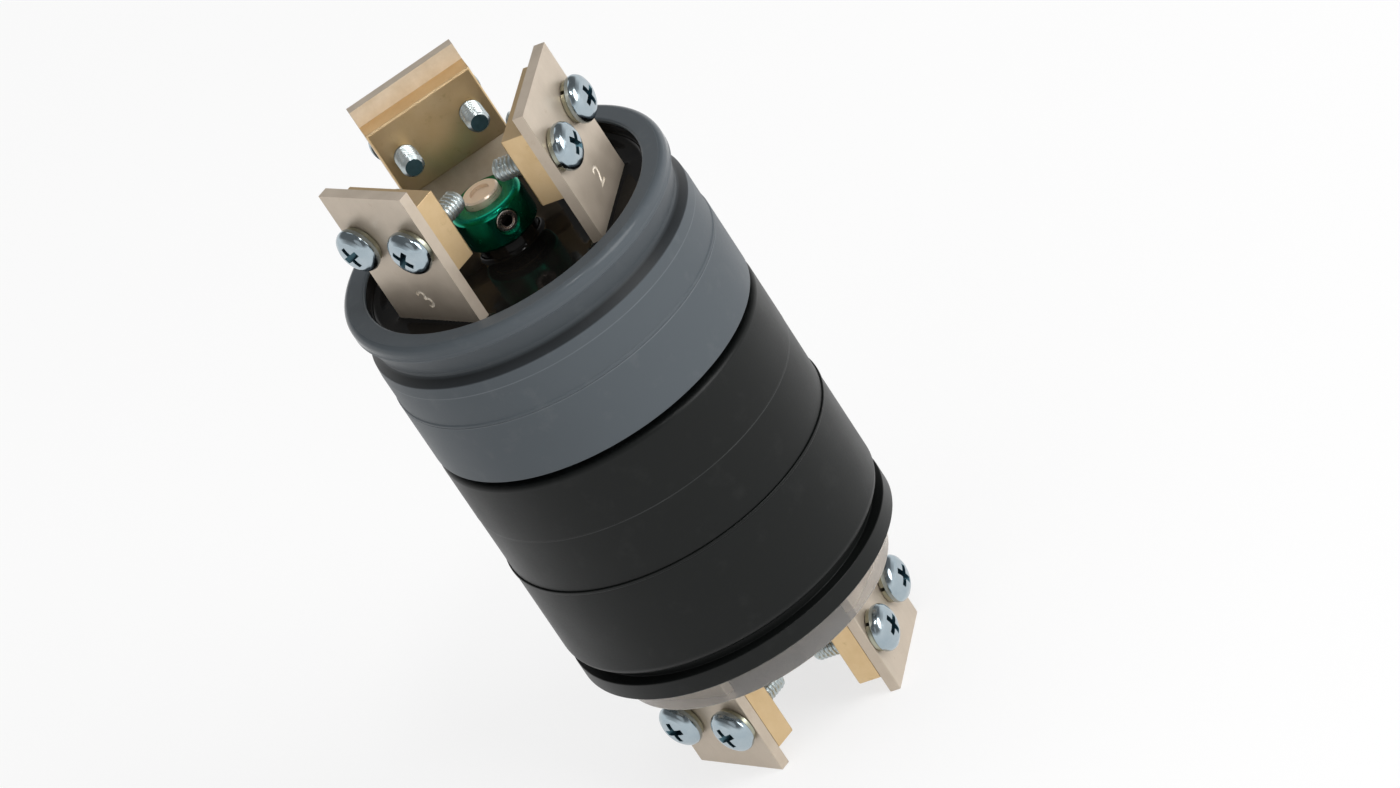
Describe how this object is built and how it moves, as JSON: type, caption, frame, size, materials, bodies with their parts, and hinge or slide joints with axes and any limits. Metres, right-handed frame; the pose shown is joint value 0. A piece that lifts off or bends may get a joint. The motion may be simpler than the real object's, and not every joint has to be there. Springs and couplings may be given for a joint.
{
  "type": "slip ring",
  "caption": "Cylindrical slip ring: a grey turning half on a black fixed half, with screw terminals standing out of both ends.",
  "frame": {"origin": "on the axis, level with the ends of the lower terminal plates", "axes": "+Z along the axis of rotation, from the fixed black half to the turning grey half; +Y towards terminal 1; the picture is taken from the -Y side"},
  "size_m": [0.0639, 0.0638, 0.1348],
  "materials": {
    "grey_housing": "satin moulded slate grey",
    "black_housing": "satin moulded black",
    "potting": "glossy cast resin",
    "clear_disc": "clear, polished",
    "insulator": "matt moulded insulator",
    "plated_terminal": "satin tin plate on brass",
    "brass_block": "satin machined brass",
    "zinc_screw": "bright zinc plate",
    "pin_metal": "turned, bright",
    "green_collar": "green anodised, polished",
    "socket_screw": "plain steel",
    "contact_metal": "turned copper alloy",
    "bearing_steel": "ground steel",
    "cage": "machined brass",
    "seal_rubber": "moulded rubber"
  },
  "bodies": {
    "housing": {"upper_housing": "black_housing", "middle_housing": "black_housing", "lower_housing": "black_housing", "divider_disc": "insulator", "end_flange": "black_housing", "clear_disc": "clear_disc", "upper_outer_race": "bearing_steel", "lower_outer_race": "bearing_steel", "shaft_seal": "seal_rubber", "lower_lock_washers": "zinc_screw", "lower_plate_1": "plated_terminal", "lower_block_1": "brass_block", "lower_screws_1": "zinc_screw", "stator_rod_1": "contact_metal", "contact_cup_1": "contact_metal", "lower_plate_2": "plated_terminal", "lower_block_2": "brass_block", "lower_screws_2": "zinc_screw", "stator_rod_2": "contact_metal", "contact_cup_2": "contact_metal", "lower_plate_3": "plated_terminal", "lower_block_3": "brass_block", "lower_screws_3": "zinc_screw", "stator_rod_3": "contact_metal", "contact_cup_3": "contact_metal"},
    "rotor": {"upper_cap": "grey_housing", "upper_sleeve": "grey_housing", "potting": "potting", "rotor_hub": "insulator", "rotor_shaft": "pin_metal", "set_collar": "green_collar", "set_screw": "socket_screw", "clamp_bush": "brass_block", "upper_inner_race": "bearing_steel", "lower_inner_race": "bearing_steel", "upper_lock_washers": "zinc_screw", "upper_plate_1": "plated_terminal", "upper_block_1": "brass_block", "upper_screws_1": "zinc_screw", "rotor_rod_1": "contact_metal", "contact_disc_1": "contact_metal", "spacer_1": "insulator", "upper_plate_2": "plated_terminal", "upper_block_2": "brass_block", "upper_screws_2": "zinc_screw", "rotor_rod_2": "contact_metal", "contact_disc_2": "contact_metal", "spacer_2": "insulator", "upper_plate_3": "plated_terminal", "upper_block_3": "brass_block", "upper_screws_3": "zinc_screw", "rotor_rod_3": "contact_metal", "contact_disc_3": "contact_metal", "spacer_3": "insulator"},
    "upper_ball_ring": {"upper_balls": "bearing_steel", "upper_cage": "cage"},
    "lower_ball_ring": {"lower_balls": "bearing_steel", "lower_cage": "cage"}
  },
  "joints": [
    {"name": "rotor_spin", "type": "hinge", "parent": "housing", "child": "rotor", "pos_m": [0, 0, 0.078], "axis": [0, 0, 1], "continuous": true},
    {"name": "upper_ball_orbit", "type": "hinge", "parent": "housing", "child": "upper_ball_ring", "pos_m": [0, 0, 0.074], "axis": [0, 0, 1], "continuous": true},
    {"name": "lower_ball_orbit", "type": "hinge", "parent": "housing", "child": "lower_ball_ring", "pos_m": [0, 0, 0.031], "axis": [0, 0, 1], "continuous": true}
  ],
  "couplings": [
    {"joint": "upper_ball_orbit", "follows": "rotor_spin", "ratio": 0.4383},
    {"joint": "lower_ball_orbit", "follows": "rotor_spin", "ratio": 0.3689}
  ]
}
